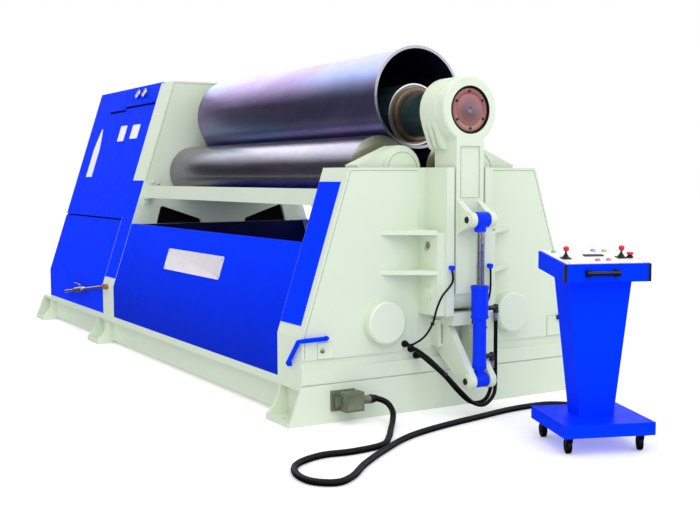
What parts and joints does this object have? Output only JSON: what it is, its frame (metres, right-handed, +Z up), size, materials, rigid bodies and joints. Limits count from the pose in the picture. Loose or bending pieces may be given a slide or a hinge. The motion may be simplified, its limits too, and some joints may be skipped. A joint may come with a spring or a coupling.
{
  "type": "three-roll plate rolling machine",
  "caption": "Three-roll plate rolling machine with swinging lower rolls, a drop-end yoke with its cylinder, a drive cabinet and a control console on a cable.",
  "frame": {"origin": "centre of the rectangle of the four corner foundation bolts, on the floor", "axes": "+X along the rolls toward the drop end with the yoke, +Y toward the back, +Z up"},
  "size_m": [7.7367, 2.8947, 2.4721],
  "materials": {
    "machine_paint": "pale grey-green machine enamel, semi-gloss",
    "blue_paint": "vivid blue enamel, semi-gloss",
    "roll_steel": "ground forged steel",
    "plate_steel": "dark rolled steel plate",
    "bright_steel": "bright turned steel",
    "chrome_rod": "hard chrome",
    "copper_cap": "dull copper-brown turned metal",
    "gauge_white": "white",
    "connector_grey": "olive-grey cast housing",
    "signal_red": "red push buttons",
    "black_plastic": "black",
    "black_rubber": "black rubber"
  },
  "bodies": {
    "machine": {"base_rails": "machine_paint", "base_cross_beams": "machine_paint", "base_feet": "machine_paint", "cover_sills": "machine_paint", "drop_end_sill": "machine_paint", "drop_end_outer_plate": "machine_paint", "drop_end_inner_plate": "machine_paint", "drop_end_walls": "machine_paint", "drop_end_top": "machine_paint", "post": "machine_paint", "post_ribs": "machine_paint", "pivot_covers": "machine_paint", "drive_end_inner_plate": "machine_paint", "drive_end_outer_plate": "machine_paint", "drive_end_walls": "machine_paint", "drive_end_top": "machine_paint", "blue_corner_panels": "blue_paint", "front_cover": "blue_paint", "rear_cover": "blue_paint", "plate_rails": "machine_paint", "inner_end_panel": "blue_paint", "cabinet_body": "blue_paint", "cabinet_upper_door": "blue_paint", "cabinet_lower_door": "blue_paint", "pressure_gauges": "gauge_white", "drain_valve": "bright_steel", "drain_fittings": "copper_cap", "corner_bar": "blue_paint", "power_connector": "connector_grey", "control_cable": "black_rubber", "cylinder_bracket": "machine_paint", "yoke_hinge_pin": "bright_steel", "cylinder_hose_upper": "black_rubber", "cylinder_hose_lower": "black_rubber", "lock_hose_front": "black_rubber", "lock_hose_rear": "black_rubber", "hose_fittings": "blue_paint", "rolled_shell": "plate_steel", "console_base": "blue_paint", "console_pedestal": "blue_paint", "console_desk": "blue_paint", "console_panel": "gauge_white", "console_controls": "black_plastic", "console_buttons": "signal_red", "console_handle": "black_plastic", "console_casters": "black_plastic"},
    "top_roll_body": {"top_roll": "roll_steel"},
    "yoke_body": {"yoke": "machine_paint", "yoke_cap": "copper_cap"},
    "cylinder_barrel_body": {"cylinder_barrel": "blue_paint"},
    "cylinder_rod_body": {"cylinder_rod": "chrome_rod", "rod_clevis": "blue_paint"},
    "front_arms_body": {"front_swing_arms": "machine_paint"},
    "rear_arms_body": {"rear_swing_arms": "machine_paint"},
    "front_roll_body": {"front_roll": "roll_steel"},
    "rear_roll_body": {"rear_roll": "roll_steel"}
  },
  "joints": [
    {"name": "top_roll_spin", "type": "hinge", "parent": "machine", "child": "top_roll_body", "pos_m": [1, 0, 1.99], "axis": [1, 0, 0], "continuous": true},
    {"name": "front_arms_swing", "type": "hinge", "parent": "machine", "child": "front_arms_body", "pos_m": [1, -0.52, 0.62], "axis": [1, 0, 0], "range_deg": [0, 5]},
    {"name": "rear_arms_swing", "type": "hinge", "parent": "machine", "child": "rear_arms_body", "pos_m": [1, 0.52, 0.62], "axis": [-1, 0, 0], "range_deg": [0, 5]},
    {"name": "front_roll_spin", "type": "hinge", "parent": "front_arms_body", "child": "front_roll_body", "pos_m": [1, -0.31, 1.60735], "axis": [1, 0, 0], "continuous": true},
    {"name": "rear_roll_spin", "type": "hinge", "parent": "rear_arms_body", "child": "rear_roll_body", "pos_m": [1, 0.31, 1.60735], "axis": [1, 0, 0], "continuous": true},
    {"name": "yoke_open", "type": "hinge", "parent": "machine", "child": "yoke_body", "pos_m": [3.19, 0, 0.8], "axis": [0, 1, 0], "range_deg": [0, 55]},
    {"name": "barrel_tilt", "type": "hinge", "parent": "machine", "child": "cylinder_barrel_body", "pos_m": [3.43, 0, 0.244], "axis": [0, 1, 0], "range_deg": [0, 25]},
    {"name": "rod_slide", "type": "slide", "parent": "cylinder_barrel_body", "child": "cylinder_rod_body", "axis": [0, 0, 1], "range_m": [-0.34, 0]}
  ],
  "couplings": [
    {"joint": "barrel_tilt", "follows": "yoke_open", "ratio": 0.45137},
    {"joint": "rod_slide", "follows": "yoke_open", "m_per_rad": -0.35263}
  ]
}
